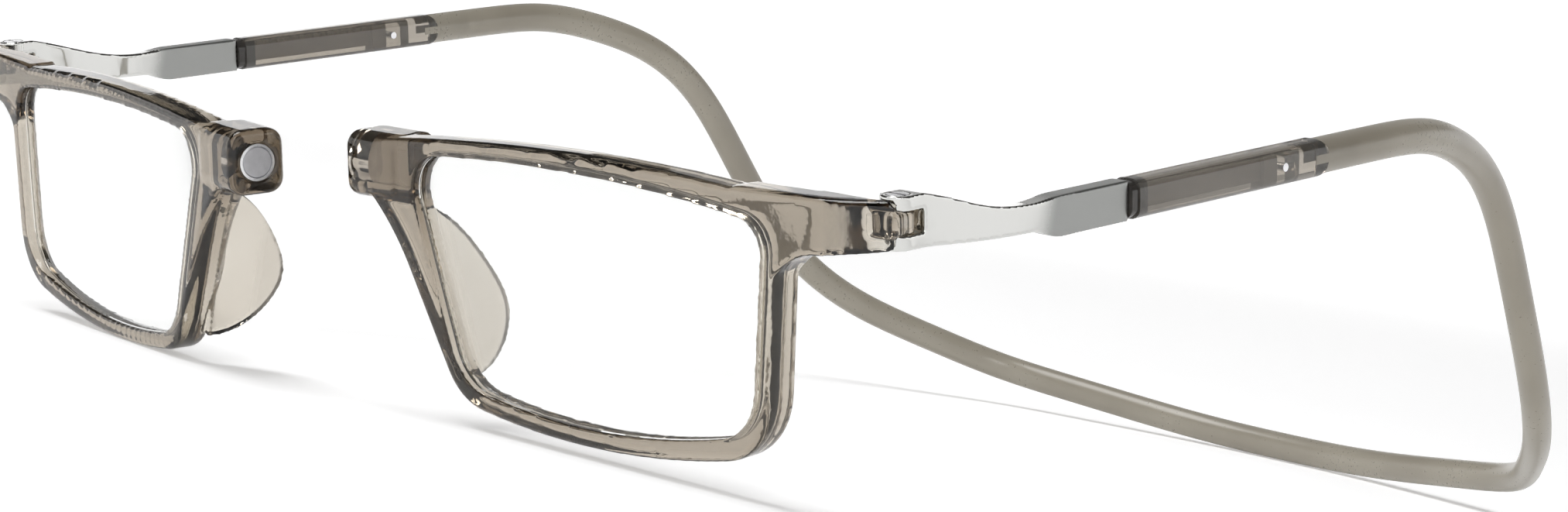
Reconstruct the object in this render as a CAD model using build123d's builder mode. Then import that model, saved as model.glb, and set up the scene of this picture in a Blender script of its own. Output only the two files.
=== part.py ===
from build123d import *
import os
from math import tan, radians

os.makedirs("parts", exist_ok=True)

# Reading glasses whose front splits at the bridge and is held shut by two magnets, on one
# flexible band that runs from temple to temple round the back of the neck.
# Everything is built as the left half, in the wearing frame of that side: the hinge pin at the
# origin, +X outward, +Y back along the temple, +Z up. The right half is its mirror image.
# At the end both halves are set on the floor, resting on the rims and the back of the band.

# Overall sizes, in millimetres and degrees
hinge_span = 131.6            # between the two hinge pins
front_reach = 63.4            # hinge pin to the end face of the bridge block
front_forward = 4.4           # hinge pin to the front face of the rim
toe_in = 0.5                  # each temple leans in towards the neck
turn_left = 2.6               # how far each half front is turned out at its hinge at rest
turn_right = 10.0
stand_angle = 13.84           # the temples rise to the back when the glasses stand on a table

# Rim and lens
rim_depth = 3.3
lens_margin = 11.1            # hinge pin to the temple side of the lens opening
lens_width = 44.5
lens_top = 0.55               # highest point of the opening above the hinge's middle
lens_height = 22.6
brow_droop = 1.7              # opening's temple corner below its highest point
nose_droop = 0.9
temple_rise = 2.9             # opening's two lower corners above its lowest point
nose_rise = 1.5
temple_lean = 1.3             # lower corners moved in from the upper ones
nose_lean = 7.2
opening_radii = (3.0, 3.4, 5.0, 5.4)    # temple top, nose top, temple low, nose low
rim_radii = (6.8, 6.2)        # temple low, nose low
wall_top = 1.7
wall_side = 2.0
wall_bottom = 1.7
wall_nose = 2.2
rim_round = 0.6
groove_depth = 0.45
lens_edge = 1.2
lens_radius = 400.0           # front curve of the plano-convex reading lens

# Bridge block, magnet and nose pad
block_drop = 1.9              # block's middle below the hinge's middle
block_length = 6.6
block_depth = 5.6
block_height = 6.2
block_round = 1.5
block_proud = 0.15            # the block stands this far ahead of the rim
magnet_diameter = 3.0
magnet_length = 2.4
cup_wall = 0.25
pad_top = 5.0                 # nose pad's upper and lower ends, below the hinge's middle
pad_bottom = 20.6
pad_reach = 7.6
pad_thickness = 1.4
pad_root = 0.8                # the pad starts this far inside the back of the rim

# Hinge, and the lug that carries the rim back to it
lug_start = 14.5              # where the lug leaves the rim, before the hinge pin
lug_belly = 6.2               # where its underside turns down to the rim
lug_foot = 9.0                # lowest point of the lug, below the hinge's middle
lug_swell = 0.8               # underside of the belly below the hinge's own underside
lug_round = 0.6
fork_height = 4.5
knuckle_height = 1.9
knuckle_radius = 1.4
ear_radius = 1.5
lug_gap = 1.7                 # hinge pin to the back of the frame's lug
window_back = 1.7             # hinge pin to the back of the fork's window
screw_radius = 0.5
screw_head_radius = 0.95
screw_head_depth = 0.4
running_gap = 0.05            # clearance of everything that turns or slides
knuckle_root = 0.6            # the knuckle starts this far inside the lug

# Temple bar and the notched slide behind it
temple_drop = 2.3             # temple's centre line below the hinge's middle
neck_at = 15.8                # slimmest place, 0.3 above the bar's centre line
neck_lift = 0.3
neck_height = 2.5
neck_thickness = 1.6
pad_start = 19.6
bar_end = 28.4
bar_height = 3.6
bar_thickness = 1.9
fork_thickness = 2.9
rack_thickness = 0.8
rack_height = 1.8
tang_length = 4.5
notch_pitch = 1.0
notch_depth = 0.22
notch_count = 16
head_length = 2.0

# Sleeve, collar and stop pin
sleeve_width = 3.0
sleeve_height = 3.6
sleeve_round = 1.05
sleeve_end = 57.2
sleeve_bulge = 1.0            # the sleeve's back end is curved
bore_width = 1.6
bore_height = 2.6
bore_end = 53.0
collar_flange = 0.9
collar_length = 2.4
collar_inset = 0.15
stop_pin_at = 50.5
stop_pin_radius = 0.4
stop_pin_gap = 0.4
spigot_length = 5.0
spigot_width = 2.0
spigot_height = 2.4

# Neckband: an oval section on a route of straight runs and arcs, in the wearing frame of the
# whole pair, with X from the middle plane and Y and Z from the hinge pins
band_width = 3.1
band_height = 3.5
bend_start = 75.9             # where the band leaves the temple's line
bend_point = (60.6, 94.1, -8.8)
drop_point = (57.1, 111.5, -41.0)
corner_point = (41.0, 133.5, -54.0)
nape_half = 12.0              # half of the straight stretch at the nape
nape_y = 142.6
nape_z = -59.4
band_radii = [17.7, 24.5, 35.0, 9.6, 50.0]
flex_gap = 0.1                # half gap between the two halves of the band at the nape
flex_open = 41.0              # the halves' end faces leave this much room to open

hinge_x = hinge_span / 2
front_y = -front_forward
rim_back = front_y + rim_depth
rim_middle = front_forward - rim_depth / 2
fork_half = fork_height / 2
knuckle_half = knuckle_height / 2
window_half = knuckle_half + running_gap
collar_start = bar_end + running_gap
sleeve_start = collar_start + collar_flange
rack_end = stop_pin_at - stop_pin_radius - stop_pin_gap
head_start = rack_end - head_length
cup_radius = magnet_diameter / 2 + cup_wall
cup_length = magnet_length + cup_wall
travel = head_start - collar_start - collar_length - running_gap


def opening_outline():
    """The lens opening, as seen from behind, with the hinge pin at the origin."""
    low = lens_top - lens_height
    temple_top = (-lens_margin, lens_top - brow_droop)
    temple_low = (-lens_margin - temple_lean, low + temple_rise)
    nose_top = (-lens_margin - lens_width, lens_top - nose_droop)
    nose_low = (-lens_margin - lens_width + nose_lean, low + nose_rise)
    middle = -lens_margin - lens_width / 2
    with BuildSketch() as opening:
        with BuildLine():
            ThreePointArc(temple_top, (middle, lens_top), nose_top)
            Line(nose_top, nose_low)
            ThreePointArc(nose_low, (middle, low), temple_low)
            Line(temple_low, temple_top)
        make_face()
        for corner, radius in zip((temple_top, nose_top, temple_low, nose_low), opening_radii):
            fillet(opening.vertices().sort_by_distance(corner)[0], radius)
    return opening.sketch


# The opening's outline serves the rim, the lens and the lens groove.
opening_face = opening_outline()

with BuildSketch() as rim_outline:
    rim_low = lens_top - lens_height - wall_bottom
    rim_top = lens_top + wall_top
    rim_centre = -lens_margin - lens_width / 2
    outer_temple_top = (-lens_margin + wall_side, rim_top - brow_droop + 0.6)
    outer_temple_low = (-lens_margin - temple_lean + wall_side, rim_low + temple_rise)
    outer_nose_low = (-lens_margin - lens_width + nose_lean - wall_nose / 4, rim_low + nose_rise)
    rim_stop = -front_reach + block_length / 4
    block_high = block_height / 2 - block_drop
    block_low = block_high - block_height
    block_top = (-front_reach + block_length - 1.0, block_high - block_proud)
    block_under = (-front_reach + block_length / 2, block_low + block_proud)
    nose_side = (-lens_margin - lens_width + nose_lean / 3 - wall_nose, lens_top - lens_height / 2)
    with BuildLine():
        ThreePointArc(outer_temple_top, (rim_centre, rim_top), block_top)
        Line(block_top, (rim_stop, block_high - block_round))
        Line((rim_stop, block_high - block_round), (rim_stop, block_low + block_round))
        Line((rim_stop, block_low + block_round), block_under)
        TangentArc(nose_side, block_under, tangent=Vector(nose_side) - Vector(outer_nose_low))
        Line(nose_side, outer_nose_low)
        ThreePointArc(outer_nose_low, (rim_centre, rim_low), outer_temple_low)
        Line(outer_temple_low, outer_temple_top)
    make_face()
    for corner, radius in zip((outer_temple_low, outer_nose_low), rim_radii):
        fillet(rim_outline.vertices().sort_by_distance(corner)[0], radius)

rim_plane = Plane.XZ.offset(front_forward)
lens_plane = Plane.XZ.offset(rim_middle + lens_edge / 2)
# The nose pad's root follows the middle of the rim's nose side
nose_edge = -lens_margin - lens_width - wall_nose / 2
nose_line_top = Vector(nose_edge + nose_lean * pad_top / lens_height, 0, -pad_top)
nose_line_low = Vector(nose_edge + nose_lean * pad_bottom / lens_height, 0, -pad_bottom)
pad_length = (nose_line_low - nose_line_top).length

with BuildPart() as lens_frame:
    with BuildSketch(rim_plane):
        add(rim_outline.sketch)
    extrude(amount=-rim_depth)
    for rim_face in (lens_frame.faces().sort_by(Axis.Y)[0], lens_frame.faces().sort_by(Axis.Y)[-1]):
        smooth_edges = rim_face.edges().filter_by(lambda e: e.center().X > rim_stop + 3.0)
        fillet(smooth_edges, rim_round)
    # Bridge block, deeper than the rim, with rounded edges
    block_middle = front_y - block_proud + block_depth / 2
    block_centre = (-front_reach + block_length / 2, block_middle, -block_drop)
    with BuildPart(mode=Mode.PRIVATE) as block:
        with Locations(block_centre):
            Box(block_length, block_depth, block_height)
        fillet(block.edges().filter_by(Axis.X), block_round)
        fillet(block.faces().sort_by(Axis.X)[0].edges(), 0.5)
    add(block.part)
    # Lug that curves back from the rim to the hinge, tall at the rim and fork-high at the hinge
    lug_high = (-lug_start, rim_top - brow_droop + 1.2)
    lug_end_high = (ear_radius - running_gap, fork_half - 0.2)
    lug_end_low = (ear_radius - running_gap, 0.2 - fork_half)
    lug_low = (-lug_belly, -fork_half - lug_swell)
    lug_heel = (-lens_margin + wall_side / 4, -lug_foot)
    lug_toe = (-lens_margin - wall_side / 4, -lug_foot)
    lug_inner = (-lug_start, -lug_foot / 3)
    with BuildPart(mode=Mode.PRIVATE) as lug:
        with BuildSketch(rim_plane):
            with BuildLine():
                Polyline(lug_low, lug_end_low, lug_end_high, lug_high, lug_inner, lug_toe)
                Line(lug_toe, lug_heel)
                TangentArc(lug_low, lug_heel, tangent=(-1, -0.2))
            make_face()
        extrude(amount=-front_forward)
        with BuildSketch(Plane.XY.offset(-12)) as lug_plan:
            with BuildLine():
                Line((-lug_start - 1, front_y), (-lug_belly, front_y))
                TangentArc((-lug_belly, front_y), (ear_radius, -lug_gap), tangent=(1, 0))
                Polyline(
                    (ear_radius, -lug_gap), (-ear_radius, -lug_gap), (-lug_belly, rim_back),
                    (-lug_start - 1, rim_back), (-lug_start - 1, front_y),
                )
            make_face()
        extrude(amount=24, mode=Mode.INTERSECT)
        long_edges = lug.edges().filter_by(lambda e: e.length > 3.5 and e.center().Z > 1.2)
        fillet(long_edges.sort_by(Axis.Y)[0], lug_round)
    add(lug.part)
    # Knuckle that turns between the ears of the temple's fork
    with BuildSketch(Plane.XY.offset(-knuckle_half)):
        Circle(knuckle_radius)
        with Locations((0, -(lug_gap + knuckle_root) / 2)):
            Rectangle(2 * knuckle_radius, lug_gap + knuckle_root)
    extrude(amount=knuckle_height)
    # Nose pad: a leaf-shaped blade behind the nose side of the rim
    pad_plane = Plane(
        origin=(nose_line_top.X, rim_back - pad_root, nose_line_top.Z),
        x_dir=(0, 1, 0),
        z_dir=Vector(0, 1, 0).cross(nose_line_low - nose_line_top),
    )
    with BuildSketch(pad_plane):
        with BuildLine():
            Spline(
                (0, 0), (pad_reach * 0.45, pad_length * 0.14), (pad_reach * 0.84, pad_length * 0.4),
                (pad_reach, pad_length * 0.66), (pad_reach * 0.7, pad_length * 0.9), (0, pad_length),
            )
            Line((0, pad_length), (0, 0))
        make_face()
    extrude(amount=pad_thickness / 2, both=True)
    # Lens opening with its groove, magnet bore and hinge bore
    with BuildSketch(rim_plane.offset(1)):
        add(opening_face)
    extrude(amount=-rim_depth - 1.0 - 1.0, mode=Mode.SUBTRACT)
    with BuildSketch(lens_plane):
        offset(opening_face, amount=groove_depth)
    extrude(amount=-lens_edge, mode=Mode.SUBTRACT)
    with Locations((-front_reach, block_middle, -block_drop)):
        Cylinder(cup_radius, 2 * cup_length, rotation=(0, 90, 0), mode=Mode.SUBTRACT)
    with Locations((0, 0, 0)):
        Cylinder(screw_radius + running_gap, fork_height, mode=Mode.SUBTRACT)

with BuildPart() as lens:
    with BuildSketch(lens_plane):
        offset(opening_face, amount=groove_depth)
    extrude(amount=-lens_edge)
    with BuildPart(mode=Mode.PRIVATE) as cap:
        with BuildSketch(lens_plane):
            add(opening_face)
        extrude(amount=2.0)
        cap_height = (lens_width / 2 + 3.0) ** 2 / (2 * lens_radius)
        cap_y = -rim_middle - lens_edge / 2 - cap_height + lens_radius
        with Locations((-lens_margin - lens_width / 2, cap_y, lens_top - lens_height / 2)):
            Sphere(lens_radius, mode=Mode.INTERSECT)
    add(cap.part)

with BuildPart() as magnet_cup:
    with Locations((-front_reach + cup_length / 2, block_middle, -block_drop)):
        Cylinder(cup_radius, cup_length, rotation=(0, 90, 0))
    with Locations((-front_reach, block_middle, -block_drop)):
        Cylinder(magnet_diameter / 2, 2 * magnet_length, rotation=(0, 90, 0), mode=Mode.SUBTRACT)

with BuildPart() as magnet:
    with Locations((-front_reach + magnet_length / 2, block_middle, -block_drop)):
        Cylinder(magnet_diameter / 2, magnet_length, rotation=(0, 90, 0))
    chamfer(magnet.faces().sort_by(Axis.X)[0].edges(), 0.12)

with BuildPart() as hinge_screw:
    Cylinder(screw_radius, fork_height)
    with Locations((0, 0, fork_half - screw_head_depth / 2)):
        Cylinder(screw_head_radius, screw_head_depth)
    with Locations((0, 0, fork_half)):
        Box(2 * screw_head_radius + 1, 0.3, 0.5, mode=Mode.SUBTRACT)

# Side and plan outlines of the metal bar meet as one solid
with BuildPart() as temple_bar:
    neck_top = neck_height / 2 - temple_drop + neck_lift
    neck_low = neck_top - neck_height
    bar_top = bar_height / 2 - temple_drop
    bar_low = bar_top - bar_height
    with BuildSketch(Plane.YZ):
        with BuildLine():
            Line((-ear_radius, fork_half), (window_back, fork_half))
            Spline(
                (window_back, fork_half), (neck_at, neck_top),
                tangents=[(neck_at - window_back, neck_top - fork_half), (1, 0)],
            )
            Spline((neck_at, neck_top), (pad_start, bar_top), tangents=[(1, 0), (1, 0)])
            Line((pad_start, bar_top), (bar_end, bar_top))
            Line((bar_end, bar_top), (bar_end, bar_low))
            Line((bar_end, bar_low), (pad_start, bar_low))
            Spline((pad_start, bar_low), (neck_at, neck_low), tangents=[(-1, 0), (-1, 0)])
            Spline(
                (neck_at, neck_low), (window_back, -fork_half),
                tangents=[(-1, 0), (window_back - neck_at, -fork_half - neck_low)],
            )
            Line((window_back, -fork_half), (-ear_radius, -fork_half))
            Line((-ear_radius, -fork_half), (-ear_radius, fork_half))
        make_face()
    extrude(amount=fork_thickness, both=True)
    with BuildSketch(Plane.XY.offset(-fork_height)):
        Circle(ear_radius)
        with BuildLine():
            Line((-fork_thickness / 2, 0), (-fork_thickness / 2, window_back))
            Spline(
                (-fork_thickness / 2, window_back), (-neck_thickness / 2, neck_at),
                (-bar_thickness / 2, pad_start), tangents=[(0, 1), (0, 1)],
            )
            Line((-bar_thickness / 2, pad_start), (-bar_thickness / 2, bar_end))
            Line((-bar_thickness / 2, bar_end), (bar_thickness / 2, bar_end))
            Line((bar_thickness / 2, bar_end), (bar_thickness / 2, pad_start))
            Spline(
                (bar_thickness / 2, pad_start), (neck_thickness / 2, neck_at),
                (fork_thickness / 2, window_back), tangents=[(0, -1), (0, -1)],
            )
            Line((fork_thickness / 2, window_back), (fork_thickness / 2, 0))
            Line((fork_thickness / 2, 0), (-fork_thickness / 2, 0))
        make_face()
    extrude(amount=2 * fork_height, mode=Mode.INTERSECT)
    # Window for the knuckle, screw hole with its head recess, and the slide's socket
    with Locations((0, (window_back - 3.0) / 2, 0)):
        Box(2 * fork_thickness, window_back + 3.0, 2 * window_half, mode=Mode.SUBTRACT)
    Cylinder(screw_radius, fork_height + 1, mode=Mode.SUBTRACT)
    with Locations((0, 0, fork_half)):
        Cylinder(screw_head_radius, 2 * screw_head_depth, mode=Mode.SUBTRACT)
    with Locations((0, bar_end, -temple_drop)):
        Box(rack_thickness, 2 * tang_length, rack_height - 2 * notch_depth, mode=Mode.SUBTRACT)

with BuildPart() as slide_rack:
    rack_low = -temple_drop - rack_height / 2
    rack_top = rack_low + rack_height
    with BuildSketch(Plane.YZ):
        with Locations(((bar_end + head_start) / 2, -temple_drop)):
            Rectangle(head_start - bar_end, rack_height)
    extrude(amount=rack_thickness / 2, both=True)
    with Locations((0, bar_end - tang_length / 2, -temple_drop)):
        Box(rack_thickness, tang_length, rack_height - 2 * notch_depth)
    first_notch = collar_start + collar_length + notch_pitch / 2
    notch_side = notch_depth * 2**0.5
    with BuildSketch(Plane.YZ):
        with Locations((first_notch + notch_pitch * (notch_count - 1) / 2, rack_top)):
            with GridLocations(notch_pitch, 1, notch_count, 1):
                Rectangle(notch_side, notch_side, rotation=45)
    extrude(amount=rack_thickness, both=True, mode=Mode.SUBTRACT)
    with Locations((0, head_start + head_length / 2, -temple_drop)):
        Box(bore_width - 2 * running_gap, head_length, bore_height - 2 * running_gap)

with BuildPart() as collar:
    with BuildSketch(Plane.XZ.offset(-collar_start)):
        with Locations((0, -temple_drop)):
            RectangleRounded(sleeve_width - 2 * collar_inset, sleeve_height - 2 * collar_inset, 1.0)
    extrude(amount=-collar_flange)
    with Locations((0, sleeve_start + (collar_length - collar_flange) / 2, -temple_drop)):
        Box(bore_width, collar_length - collar_flange, bore_height)
    with Locations((0, collar_start + collar_length / 2, -temple_drop)):
        Box(
            rack_thickness + 2 * running_gap, collar_length + 1,
            rack_height + 2 * running_gap, mode=Mode.SUBTRACT,
        )

with BuildPart() as sleeve:
    sleeve_top = sleeve_height / 2 - temple_drop
    sleeve_low = sleeve_top - sleeve_height
    with BuildSketch(Plane.YZ):
        with BuildLine():
            Line((sleeve_start, sleeve_top), (sleeve_end - sleeve_bulge, sleeve_top))
            ThreePointArc(
                (sleeve_end - sleeve_bulge, sleeve_top), (sleeve_end, -temple_drop),
                (sleeve_end - sleeve_bulge, sleeve_low),
            )
            Line((sleeve_end - sleeve_bulge, sleeve_low), (sleeve_start, sleeve_low))
            Line((sleeve_start, sleeve_low), (sleeve_start, sleeve_top))
        make_face()
    extrude(amount=sleeve_width / 2, both=True)
    fillet(sleeve.edges().filter_by(Axis.Y), sleeve_round)
    with Locations((0, sleeve_end, -temple_drop)):
        Box(spigot_width, 2 * spigot_length, spigot_height)
    with Locations((0, (sleeve_start + bore_end) / 2, -temple_drop)):
        Box(bore_width, bore_end - sleeve_start, bore_height, mode=Mode.SUBTRACT)
    with Locations((0, stop_pin_at, -temple_drop)):
        Cylinder(stop_pin_radius, 2 * sleeve_width, rotation=(0, 90, 0), mode=Mode.SUBTRACT)

with BuildPart() as stop_pin:
    with Locations((0, stop_pin_at, -temple_drop)):
        Cylinder(stop_pin_radius, sleeve_width, rotation=(0, 90, 0))

# Half of the neckband. It is placed with the hinge at its place in the whole pair, because its
# route ends in the middle plane.
temple_place = Location((hinge_x, 0, 0), (0, 0, toe_in))
band_start = (temple_place * Pos(0, sleeve_end - 2 * sleeve_bulge, -temple_drop)).position
bend_corner = (temple_place * Pos(0, bend_start, -temple_drop)).position
nape_turn = (nape_half, nape_y, nape_z)
nape_middle = (0, nape_y, nape_z)
placed_sleeve = temple_place * sleeve.part

with BuildPart() as neckband:
    with BuildLine() as band_route:
        FilletPolyline(
            band_start, bend_corner, bend_point, drop_point, corner_point, nape_turn, nape_middle,
            radius=band_radii,
        )
    with BuildSketch(Plane(origin=band_start, x_dir=(0, 0, 1), z_dir=band_route.line % 0)):
        Ellipse(band_height / 2, band_width / 2)
    sweep()
    # The two halves meet at the nape in a wedge-shaped gap that lets the band open
    flex_slope = tan(radians(flex_open / 2))
    with BuildSketch(Plane.XY.offset(nape_z - 20)):
        with BuildLine():
            Polyline(
                (flex_gap, nape_y - 10), (flex_gap, nape_y), (flex_gap + 10 * flex_slope, nape_y + 10),
                (-10, nape_y + 10), (-10, nape_y - 10), (flex_gap, nape_y - 10),
            )
        make_face()
    extrude(amount=40, mode=Mode.SUBTRACT)
    add(placed_sleeve, mode=Mode.SUBTRACT)

print("band length", round(band_route.wire().length, 2), "volume", round(neckband.part.volume, 1))
print("slide travel", round(travel, 2))

front_places = {
    "left": Location((hinge_x, 0, 0), (0, 0, turn_left)),
    "right": Location((hinge_x, 0, 0), (0, 0, turn_right)),
}
pieces = {
    "lens_frame": (lens_frame.part, "front"),
    "lens": (lens.part, "front"),
    "magnet_cup": (magnet_cup.part, "front"),
    "magnet": (magnet.part, "front"),
    "hinge_screw": (hinge_screw.part, "temple"),
    "temple_bar": (temple_bar.part, "temple"),
    "slide_rack": (slide_rack.part, "temple"),
    "collar": (collar.part, "temple"),
    "sleeve": (sleeve.part, "temple"),
    "stop_pin": (stop_pin.part, "temple"),
    "neckband": (neckband.part, "band"),
}

# Place every piece in the pair, mirror the right half, and stand the pair on the floor
standing = Rot(stand_angle, 0, 0)
placed = {}
for side, front_place in front_places.items():
    for name, (piece, where) in pieces.items():
        place = {"front": front_place, "temple": temple_place, "band": Location()}[where]
        half = place * piece
        if side == "right":
            half = mirror(half, about=Plane.YZ)
        placed[f"{name}_{side}"] = standing * half

boxes = [piece.bounding_box() for piece in placed.values()]
low = [min(getattr(box.min, axis) for box in boxes) for axis in "XYZ"]
high = [max(getattr(box.max, axis) for box in boxes) for axis in "XYZ"]
lift = Vector(-(low[0] + high[0]) / 2, -(low[1] + high[1]) / 2, -low[2])
for name, piece in placed.items():
    finished = Pos(lift) * piece
    finished.label = name
    export_step(finished, f"parts/{name}.step")

print("box", [round(b - a, 2) for a, b in zip(low, high)], "moved by", lift)
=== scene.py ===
import math
import bpy
import bmesh
from mathutils import Matrix, Vector


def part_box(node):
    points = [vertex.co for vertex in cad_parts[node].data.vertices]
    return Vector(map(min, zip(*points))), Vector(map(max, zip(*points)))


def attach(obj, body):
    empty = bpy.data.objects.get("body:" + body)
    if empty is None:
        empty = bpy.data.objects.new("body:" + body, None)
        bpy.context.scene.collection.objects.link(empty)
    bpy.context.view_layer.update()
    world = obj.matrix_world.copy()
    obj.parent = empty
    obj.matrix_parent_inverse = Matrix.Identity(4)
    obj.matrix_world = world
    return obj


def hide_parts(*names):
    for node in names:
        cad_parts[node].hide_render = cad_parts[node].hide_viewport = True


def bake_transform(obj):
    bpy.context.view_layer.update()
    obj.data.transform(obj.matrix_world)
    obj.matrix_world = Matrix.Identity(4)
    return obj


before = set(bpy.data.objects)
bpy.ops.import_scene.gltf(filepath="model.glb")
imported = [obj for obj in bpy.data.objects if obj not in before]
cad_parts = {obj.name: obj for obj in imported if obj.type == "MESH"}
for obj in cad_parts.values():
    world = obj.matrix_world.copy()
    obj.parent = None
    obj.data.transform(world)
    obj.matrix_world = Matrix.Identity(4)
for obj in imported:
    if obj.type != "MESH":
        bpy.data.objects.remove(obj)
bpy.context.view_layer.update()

# Reading glasses that open at the bridge, on one band round the neck.
# Lengths are metres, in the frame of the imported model.
mm = 0.001
sides = ("left", "right")
standTilt = 13.84     # degrees that the temples rise to the back

camera = {
    "place": (0.241781, -0.263519, 0.030329),
    "right": (0.705096, 0.690799, 0.160118),
    "up": (-0.137597, -0.088224, 0.986551),
    "back": (0.695634, -0.717645, 0.032845),
    "lens": 74.63,
    "shiftY": -0.00439,
}


def makeCamera(values):
    data = bpy.data.cameras.new("camera")
    data.sensor_width = 36
    data.lens = values["lens"]
    data.shift_y = values["shiftY"]
    data.clip_start = 0.01
    data.clip_end = 20
    turn = Matrix((values["right"], values["up"], values["back"])).transposed().to_4x4()
    body = bpy.data.objects.new("camera", data)
    body.matrix_world = Matrix.Translation(values["place"]) @ turn
    bpy.context.scene.collection.objects.link(body)
    bpy.context.scene.camera = body


makeCamera(camera)
bpy.context.scene.view_settings.view_transform = "Standard"
print("camera placed")


class Wire:
    # one output of a node; + - * / and powers add Math nodes
    def __init__(self, tree, socket):
        self.tree, self.socket = tree, socket

    def maths(self, operation, first, second):
        step = self.tree.nodes.new("ShaderNodeMath")
        step.operation = operation
        plug(self.tree, first, step.inputs[0])
        plug(self.tree, second, step.inputs[1])
        return Wire(self.tree, step.outputs[0])

    def __add__(self, other): return self.maths("ADD", self, other)
    def __radd__(self, other): return self.maths("ADD", other, self)
    def __sub__(self, other): return self.maths("SUBTRACT", self, other)
    def __rsub__(self, other): return self.maths("SUBTRACT", other, self)
    def __mul__(self, other): return self.maths("MULTIPLY", self, other)
    def __rmul__(self, other): return self.maths("MULTIPLY", other, self)
    def __truediv__(self, other): return self.maths("DIVIDE", self, other)
    def __rtruediv__(self, other): return self.maths("DIVIDE", other, self)
    def __pow__(self, other): return self.maths("POWER", self, other)


def plug(tree, value, socket):
    if isinstance(value, Wire):
        tree.links.new(value.socket, socket)
    elif isinstance(value, (tuple, list)) and len(value) == 3 and socket.type == "RGBA":
        socket.default_value = (*value, 1)
    else:
        socket.default_value = value


class Finish:
    # a material and the one way that nodes are added to it
    def __init__(self, name):
        self.material = bpy.data.materials.new(name)
        self.material.use_nodes = True
        self.tree = self.material.node_tree
        self.tree.nodes.clear()
        self.output = self.tree.nodes.new("ShaderNodeOutputMaterial")

    def add(self, kind, settings=None, sockets=None, result=0):
        node = self.tree.nodes.new("ShaderNode" + kind)
        for name, value in (settings or {}).items():
            if name == "stops":
                ramp = node.color_ramp
                while len(ramp.elements) < len(value):
                    ramp.elements.new(1)
                for element, (position, colour) in zip(ramp.elements, value):
                    element.position = position
                    element.color = (*colour, 1)
            else:
                setattr(node, name, value)
        for name, value in (sockets or {}).items():
            plug(self.tree, value, node.inputs[name])
        return Wire(self.tree, node.outputs[result])

    def place(self):
        return self.add("TexCoord", result="Object")

    def noise(self, scale, detail=2.0, stretch=None):
        where = self.place()
        if stretch:
            where = self.add("Mapping", {}, {"Vector": where, "Scale": stretch})
        return self.add("TexNoise", {}, {"Vector": where, "Scale": scale, "Detail": detail})

    def ramp(self, factor, *stops):
        return self.add("ValToRGB", {"stops": stops}, {"Fac": factor})

    def bump(self, height, depth, strength=1.0):
        return self.add("Bump", {}, {"Height": height, "Distance": depth, "Strength": strength})

    def surface(self, values, volume=None):
        body = self.add("BsdfPrincipled", {}, values)
        self.tree.links.new(body.socket, self.output.inputs["Surface"])
        if volume:
            inside = self.add("VolumeAbsorption", {}, volume)
            self.tree.links.new(inside.socket, self.output.inputs["Volume"])
        return self.material


smokeFrame = {"tintA": (0.90, 0.88, 0.82), "tintB": (0.80, 0.77, 0.70), "depthColour": (0.42, 0.34, 0.24),
              "density": 380, "gloss": 0.03, "satin": 0.33}
clearLens = {"tint": (0.985, 0.992, 0.985)}
bandPlastic = {"light": (0.40, 0.37, 0.305), "dark": (0.29, 0.26, 0.21), "rough": 0.27, "clear": 0.3}
sleevePlastic = {"tintA": (0.74, 0.71, 0.66), "tintB": (0.62, 0.59, 0.54), "depthColour": (0.42, 0.36, 0.28),
                 "density": 300}
templeSteel = {"polished": (0.66, 0.66, 0.64), "satin": (0.33, 0.335, 0.325), "changeFrom": -0.0534,
               "changeTo": -0.0508}


def makeSmokeFrame(values):
    f = Finish("smoke plastic")
    flow = f.noise(55, 3)
    fine = f.noise(900, 2)
    pad = f.add("Attribute", {"attribute_name": "padMask"}, result="Fac")
    colour = f.ramp(flow, (0.3, values["tintB"]), (0.7, values["tintA"]))
    rough = values["gloss"] + pad * (values["satin"] - values["gloss"]) + fine * 0.02
    height = flow * 0.6 + fine * 0.04
    return f.surface({
        "Base Color": colour, "Roughness": rough, "IOR": 1.49, "Transmission Weight": 1.0,
        "Normal": f.bump(height, 0.0004, 0.35),
    }, {"Color": values["depthColour"], "Density": values["density"]})


def makeClearLens(values):
    f = Finish("clear lens")
    fine = f.noise(200, 2)
    rough = fine * 0.012
    return f.surface({"Base Color": values["tint"], "Roughness": rough, "IOR": 1.5,
                      "Transmission Weight": 1.0})


def makeBand(values):
    f = Finish("band plastic")
    cloud = f.noise(70, 3)
    grain = f.noise(2600, 3)
    colour = f.ramp(cloud, (0.25, values["dark"]), (0.75, values["light"]))
    rough = values["rough"] + grain * 0.08 - cloud * 0.04
    return f.surface({
        "Base Color": colour, "Roughness": rough, "IOR": 1.46, "Transmission Weight": values["clear"],
        "Coat Weight": 0.15, "Coat Roughness": 0.2,
        "Normal": f.bump(grain, 0.00002, 0.5),
    })


def makeSleeve(values):
    f = Finish("dark smoke tube")
    streak = f.noise(260, 3, (1, 0.12, 1))
    colour = f.ramp(streak, (0.3, values["tintB"]), (0.7, values["tintA"]))
    rough = 0.03 + streak * 0.05
    return f.surface({
        "Base Color": colour, "Roughness": rough, "IOR": 1.47, "Transmission Weight": 0.92,
        "Normal": f.bump(streak, 0.0002, 0.2),
    }, {"Color": values["depthColour"], "Density": values["density"]})


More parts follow.
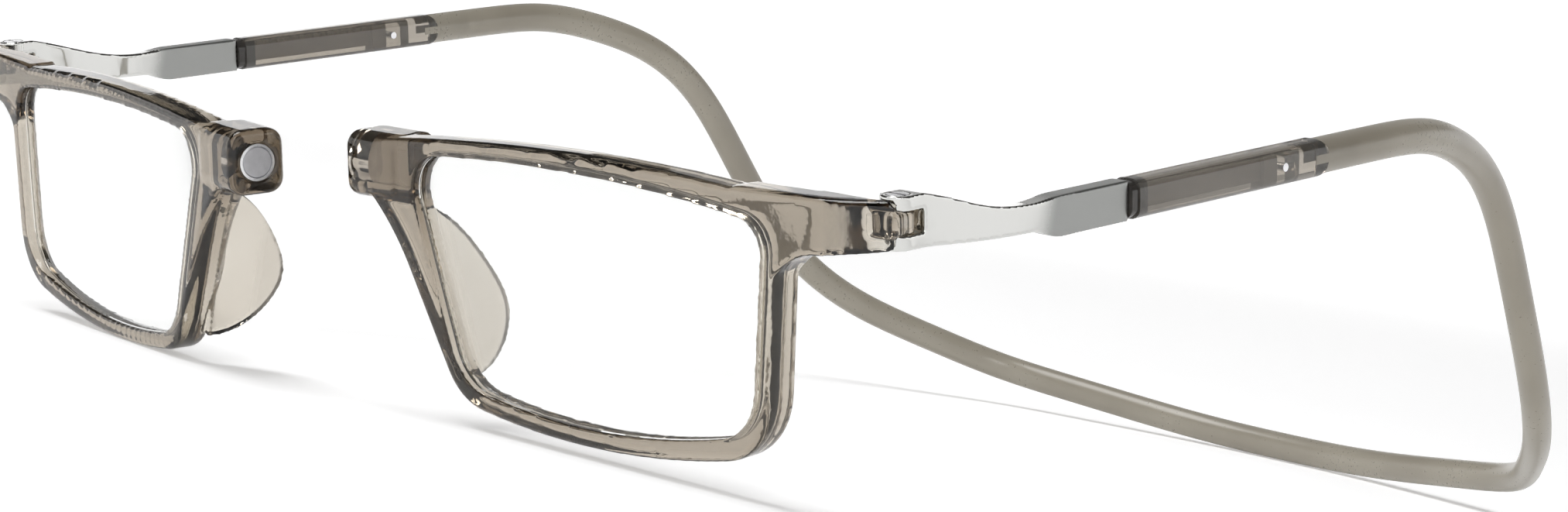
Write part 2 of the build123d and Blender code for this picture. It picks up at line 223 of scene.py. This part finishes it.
def makeTempleSteel(values):
    f = Finish("polished and satin steel")
    along = f.add("SeparateXYZ", {}, {"Vector": f.place()}, result="Y")
    satin = f.add("MapRange", {"interpolation_type": "SMOOTHSTEP"},
                  {"Value": along, "From Min": values["changeFrom"], "From Max": values["changeTo"]})
    brush = f.noise(5200, 3, (1, 0.04, 1))
    colour = f.add("Mix", {"data_type": "RGBA"}, {"Factor": satin, "A": values["polished"],
                                                  "B": values["satin"]}, result=2)
    rough = 0.07 + satin * 0.26 + brush * satin * 0.08
    return f.surface({
        "Base Color": colour, "Metallic": 1.0, "Roughness": rough,
        "Normal": f.bump(brush * satin, 0.00002, 0.3),
    })


def makeMetal(values):
    f = Finish(values["name"])
    turn = f.noise(values["grain"], 2)
    colour = f.ramp(turn, (0.3, values["dark"]), (0.7, values["light"]))
    return f.surface({"Base Color": colour, "Metallic": 1.0, "Roughness": values["rough"] + turn * 0.08,
                      "Normal": f.bump(turn, 0.00001, 0.3)})


def makePlastic(values):
    f = Finish(values["name"])
    cloud = f.noise(500, 2)
    colour = f.ramp(cloud, (0.3, values["dark"]), (0.7, values["light"]))
    return f.surface({"Base Color": colour, "Roughness": values["rough"] + cloud * 0.06, "IOR": 1.47,
                      "Transmission Weight": values["clear"], "Normal": f.bump(cloud, 0.00003, 0.3)})


nickelPlate = {"name": "nickel plate", "light": (0.93, 0.93, 0.94), "dark": (0.84, 0.84, 0.86),
               "rough": 0.08, "grain": 900}
satinNickel = {"name": "satin nickel", "light": (0.52, 0.52, 0.54), "dark": (0.46, 0.46, 0.48),
               "rough": 0.38, "grain": 1500}
machinedSteel = {"name": "machined steel", "light": (0.82, 0.82, 0.83), "dark": (0.70, 0.70, 0.72),
                 "rough": 0.15, "grain": 2500}
smokeStrip = {"name": "smoke strip", "light": (0.30, 0.26, 0.22), "dark": (0.22, 0.19, 0.16),
              "rough": 0.12, "clear": 0.35}
darkBush = {"name": "dark bush", "light": (0.05, 0.045, 0.04), "dark": (0.03, 0.027, 0.025),
            "rough": 0.08, "clear": 0.1}

finishes = {
    "clear_frame": makeSmokeFrame(smokeFrame),
    "lens": makeClearLens(clearLens),
    "plated_cup": makeMetal(nickelPlate),
    "magnet": makeMetal(satinNickel),
    "screw": makeMetal(machinedSteel),
    "temple_metal": makeTempleSteel(templeSteel),
    "rack": makePlastic(smokeStrip),
    "collar": makePlastic(darkBush),
    "clear_sleeve": makeSleeve(sleevePlastic),
    "neckband": makeBand(bandPlastic),
}
print("finishes made")

weldWithin = 0.002 * mm


def mergedCopy(node, name):
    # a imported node's shape, its faces joined at their edges
    shape = bmesh.new()
    shape.from_mesh(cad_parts[node].data)
    bmesh.ops.remove_doubles(shape, verts=shape.verts, dist=weldWithin)
    mesh = bpy.data.meshes.new(name)
    shape.to_mesh(mesh)
    shape.free()
    clean = bpy.data.meshes.new(name)     # points and faces only
    clean.from_pydata([v.co[:] for v in mesh.vertices], [], [p.vertices[:] for p in mesh.polygons])
    bpy.data.meshes.remove(mesh)
    piece = bpy.data.objects.new(name, clean)
    bpy.context.scene.collection.objects.link(piece)
    return piece


def settle(piece):
    # the evaluated shape becomes the piece's own mesh, with no modifiers left
    bpy.context.view_layer.update()
    graph = bpy.context.evaluated_depsgraph_get()
    mesh = bpy.data.meshes.new_from_object(piece.evaluated_get(graph))
    piece.modifiers.clear()
    piece.data = mesh
    return piece


def remould(piece, voxel, rounds):
    skin = piece.modifiers.new("skin", "REMESH")
    skin.mode = "VOXEL"
    skin.voxel_size = voxel
    soft = piece.modifiers.new("soft", "SMOOTH")
    soft.factor = 0.5
    soft.iterations = rounds
    settle(piece)
    piece.data.shade_smooth()
    return piece


def sharpen(piece, angle=32):
    piece.data.shade_smooth()
    piece.data.set_sharp_from_angle(angle=math.radians(angle))
    return piece


def dress(piece, slot, body, *nodes):
    piece.data.materials.clear()
    piece.data.materials.append(finishes[slot])
    if body:
        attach(piece, body)
    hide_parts(*nodes)
    return piece


frontShape = {"voxel": 0.00021, "rounds": 8, "padTop": 0.001, "padBack": 0.0024, "padFade": 0.0006}


def markPad(piece, side):
    # 1 on the nose pad's blade, 0 on the rim
    tilt = Matrix.Rotation(math.radians(-standTilt), 4, "X")
    mask = piece.data.attributes.new("padMask", "FLOAT", "POINT")
    low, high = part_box("lens_" + side)
    for vertex, item in zip(piece.data.vertices, mask.data):
        across = abs(vertex.co.x)
        inside = 1 if across < abs(low.x + high.x) / 2 and vertex.co.z < high.z - frontShape["padTop"] else 0
        level = (tilt @ vertex.co).y - (tilt @ ((low + high) / 2)).y
        item.value = inside * min(1, max(0, (level - frontShape["padBack"]) / frontShape["padFade"]))


for side in sides:
    rim = mergedCopy("lens_frame_" + side, "half_front_" + side)
    remould(rim, frontShape["voxel"], frontShape["rounds"])
    markPad(rim, side)
    dress(rim, "clear_frame", "front_" + side, "lens_frame_" + side)
    glass = sharpen(mergedCopy("lens_" + side, "reading_lens_" + side))
    dress(glass, "lens", "front_" + side, "lens_" + side)
    for node, slot, name in (("magnet_cup_", "plated_cup", "cup_"), ("magnet_", "magnet", "disc_magnet_")):
        dress(sharpen(mergedCopy(node + side, name + side)), slot, "front_" + side, node + side)
print("half fronts made")

barShape = {"voxel": 0.00013, "rounds": 3}

for side in sides:
    bar = mergedCopy("temple_bar_" + side, "steel_bar_" + side)
    remould(bar, barShape["voxel"], barShape["rounds"])
    dress(bar, "temple_metal", "temple_" + side, "temple_bar_" + side)
    for node, slot, body, name in (
            ("hinge_screw_", "screw", "temple_", "hinge_pin_"),
            ("slide_rack_", "rack", "temple_", "notched_strip_"),
            ("collar_", "collar", "band_", "bush_"), ("sleeve_", "clear_sleeve", "band_", "tube_"),
            ("stop_pin_", "screw", "band_", "stop_")):
        dress(sharpen(mergedCopy(node + side, name + side)), slot, body + side, node + side)
print("temples made")

# corners of one half, from the tube's end to the nape, in the wearing frame (mm)
band = {
    "lean": 0.5, "hingeX": 65.8, "drop": 2.3, "lift": (0.125347, -69.6515, 25.414),
    "start": 55.2, "leave": 75.9,
    "corners": [(60.6, 94.1, -8.8), (57.1, 111.5, -41.0), (41.0, 133.5, -54.0), (12.0, 142.6, -59.4)],
    "bends": [17.7, 24.5, 35.0, 9.6, 50.0], "perBend": 12, "gap": 1.0, "softening": 30,
    "width": 3.1, "height": 3.5, "around": 28, "steps": 420, "bendHalf": 34.0,
}


def standUp(point):
    x, y, z = point
    c, s = math.cos(math.radians(standTilt)), math.sin(math.radians(standTilt))
    lift = band["lift"]
    return Vector(((x + lift[0]) * mm, (y * c - z * s + lift[1]) * mm, (y * s + z * c + lift[2]) * mm))


def roundedRoute(corners, bends, perBend):
    # straight runs joined by arcs of the given radii
    route = [corners[0]]
    for before, corner, after, radius in zip(corners, corners[1:], corners[2:], bends):
        a, b = (before - corner).normalized(), (after - corner).normalized()
        half = a.angle(b) / 2
        centre = corner + (a + b).normalized() * radius / math.sin(half)
        reach = radius / math.tan(half)
        start = (corner + a * reach - centre).normalized()
        end = (corner + b * reach - centre).normalized()
        for k in range(perBend + 1):
            route.append(centre + start.slerp(end, k / perBend) * radius)
    return route + [corners[-1]]


def evenPoints(route, gap):
    points, left = [route[0]], gap
    for a, b in zip(route, route[1:]):
        length, done = (b - a).length, 0.0
        while done + left <= length:
            done += left
            points.append(a.lerp(b, done / length))
            left = gap
        left -= length - done
    return points + [route[-1]]


def bandPoints():
    lean = math.radians(band["lean"])
    straight = [Vector((band["hingeX"] - math.sin(lean) * s, math.cos(lean) * s, -band["drop"]))
                for s in (band["start"], band["leave"])]
    corners = [Vector(p) for p in band["corners"]]
    half = roundedRoute(straight + corners + [Vector((0, *corners[-1].yz))], band["bends"], band["perBend"])
    points = evenPoints(half + [Vector((-p.x, p.y, p.z)) for p in reversed(half[:-1])], band["gap"])
    for _ in range(band["softening"]):
        inner = [(a + b * 2 + c) / 4 for a, b, c in zip(points, points[1:], points[2:])]
        points = [points[0], *inner, points[-1]]
    return [standUp(p) for p in points]


def bandLine():
    data = bpy.data.curves.new("bandLine", "CURVE")
    data.dimensions = "3D"
    points = bandPoints()
    line = data.splines.new("POLY")
    line.points.add(len(points) - 1)
    for point, place in zip(line.points, points):
        point.co = (*place, 1)
    piece = bpy.data.objects.new("neckband", data)
    bpy.context.scene.collection.objects.link(piece)
    return piece


def bandTree(material):
    tree = bpy.data.node_groups.new("oval band", "GeometryNodeTree")
    face = tree.interface
    face.new_socket("Geometry", in_out="INPUT", socket_type="NodeSocketGeometry")
    for name, kind in (("Width", "Float"), ("Height", "Float"), ("Steps", "Int"), ("Around", "Int")):
        face.new_socket(name, in_out="INPUT", socket_type="NodeSocket" + kind)
    face.new_socket("Geometry", in_out="OUTPUT", socket_type="NodeSocketGeometry")

    def add(kind, settings=None, sockets=None):
        node = tree.nodes.new(kind)
        for name, value in (settings or {}).items():
            setattr(node, name, value)
        for name, value in (sockets or {}).items():
            if isinstance(value, bpy.types.NodeSocket):
                tree.links.new(value, node.inputs[name])
            else:
                node.inputs[name].default_value = value
        return node

    given = add("NodeGroupInput").outputs
    path = add("GeometryNodeResampleCurve", {"mode": "COUNT"},
               {"Curve": given["Geometry"], "Count": given["Steps"]})
    ring = add("GeometryNodeCurvePrimitiveCircle", None, {"Resolution": given["Around"], "Radius": 0.5})
    size = add("ShaderNodeCombineXYZ", None, {"X": given["Width"], "Y": given["Height"], "Z": 1.0})
    oval = add("GeometryNodeTransform", None,
               {"Geometry": ring.outputs["Curve"], "Scale": size.outputs[0]})
    tube = add("GeometryNodeCurveToMesh", None,
               {"Curve": path.outputs[0], "Profile Curve": oval.outputs[0], "Fill Caps": True})
    smooth = add("GeometryNodeSetShadeSmooth", None, {"Geometry": tube.outputs[0]})
    real = add("GeometryNodeRealizeInstances", None, {"Geometry": smooth.outputs[0]})
    paint = add("GeometryNodeSetMaterial", None, {"Geometry": real.outputs[0], "Material": material})
    end = add("NodeGroupOutput")
    tree.links.new(paint.outputs[0], end.inputs[0])
    return tree


def makeBandPiece():
    line = bandLine()
    modifier = line.modifiers.new("oval", "NODES")
    tree = bandTree(finishes["neckband"])
    modifier.node_group = tree
    sizes = {"Width": band["width"] * mm, "Height": band["height"] * mm, "Steps": band["steps"],
             "Around": band["around"]}
    for item in tree.interface.items_tree:
        if item.in_out == "INPUT" and item.name in sizes:
            modifier[item.identifier] = sizes[item.name]
    bpy.context.view_layer.update()
    mesh = bpy.data.meshes.new_from_object(line.evaluated_get(bpy.context.evaluated_depsgraph_get()))
    bpy.data.objects.remove(line)
    piece = bpy.data.objects.new("neckband", mesh)
    bpy.context.scene.collection.objects.link(piece)
    cutters = [mergedCopy("sleeve_" + side, "cutter") for side in sides]
    for cutter in cutters:
        cut = piece.modifiers.new("recess", "BOOLEAN")
        cut.operation = "DIFFERENCE"
        cut.solver = "EXACT"
        cut.object = cutter
    settle(piece)
    for cutter in cutters:
        bpy.data.objects.remove(cutter)
    sharpen(piece, 40)
    return piece


neckPiece = makeBandPiece()
dress(neckPiece, "neckband", None, "neckband_left", "neckband_right")
nape = standUp((0, *band["corners"][-1][1:]))
bendHalf = Vector((band["bendHalf"] * mm, 0, 0))
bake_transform(neckPiece)
print("neckband made", len(neckPiece.data.polygons), "faces")

studio = {           # a bowl of pale paper under three soft lights; the paper also glows with painted light, dim near the centre and full white up the wall
    "radius": 1.6, "curve": 0.5, "wall": 0.8, "around": 96,
    "floor": (0.90, 0.90, 0.905), "glow": 0.62, "paintedGlowNear": 0.42,
    "world": (0.06, 0.058, 0.055), "worldStrength": 1.0,
    "lights": [      # name, place, aimed at, width, height, power
        ("overhead", (-0.25, -0.35, 0.95), (0.0, 0.0, 0.0), 0.6, 0.6, 8.0),
        ("front", (0.9, -0.9, 0.75), (0.0, -0.02, 0.02), 0.5, 0.5, 3.5),
        ("rear", (-0.5, 1.0, 0.9), (0.0, 0.0, 0.02), 1.2, 0.8, 1.2),
    ],
}


def makeStage(values):
    radius, curve, around = values["radius"], values["curve"], values["around"]
    profile = [(0.001, 0.0)] + [(radius * k / 10, 0.0) for k in range(1, 11)]
    for k in range(1, 13):
        a = math.radians(90 * k / 12)
        profile.append((radius + math.sin(a) * curve, (1 - math.cos(a)) * curve))
    profile.append((radius + curve, values["wall"]))
    turns = [2 * math.pi * k / around for k in range(around)]
    shape = bmesh.new()
    rings = [[shape.verts.new((r * math.cos(a), r * math.sin(a), z)) for a in turns] for r, z in profile]
    for inner, outer in zip(rings, rings[1:]):
        for k in range(around):
            n = (k + 1) % around
            shape.faces.new((inner[k], outer[k], outer[n], inner[n]))
    shape.faces.new(rings[0])
    mesh = bpy.data.meshes.new("studioFloor")
    shape.to_mesh(mesh)
    shape.free()
    mesh.shade_smooth()
    floor = bpy.data.objects.new("studioFloor", mesh)
    bpy.context.scene.collection.objects.link(floor)
    f = Finish("studio paper with painted glow")
    paper = f.noise(400, 3)
    # painted light: the paper's emission colour rises with distance from the centre, dim under the glasses
    # and full white at the wall
    reach = f.add("VectorMath", {"operation": "LENGTH"}, {"Vector": f.place()}, result="Value")
    near = (values["paintedGlowNear"],) * 3
    glow = f.ramp(reach / radius, (0.15, near), (0.9, (1.0, 1.0, 1.0)))
    mesh.materials.append(f.surface({"Base Color": values["floor"], "Roughness": 0.75 + paper * 0.15,
                                     "Specular IOR Level": 0.2, "Emission Color": glow,
                                     "Emission Strength": values["glow"]}))


def makeLights(values):
    for name, place, target, width, height, power in values["lights"]:
        data = bpy.data.lights.new(name, "AREA")
        data.shape = "RECTANGLE"
        data.size, data.size_y, data.energy = width, height, power
        lamp = bpy.data.objects.new(name, data)
        lamp.location = place
        lamp.rotation_euler = (Vector(target) - Vector(place)).to_track_quat("-Z", "Y").to_euler()
        bpy.context.scene.collection.objects.link(lamp)
    world = bpy.data.worlds.new("studio")
    world.use_nodes = True
    back = world.node_tree.nodes["Background"]
    back.inputs["Color"].default_value = (*values["world"], 1)
    back.inputs["Strength"].default_value = values["worldStrength"]
    bpy.context.scene.world = world


makeStage(studio)
makeLights(studio)
print("studio made")

bpy.context.view_layer.update()
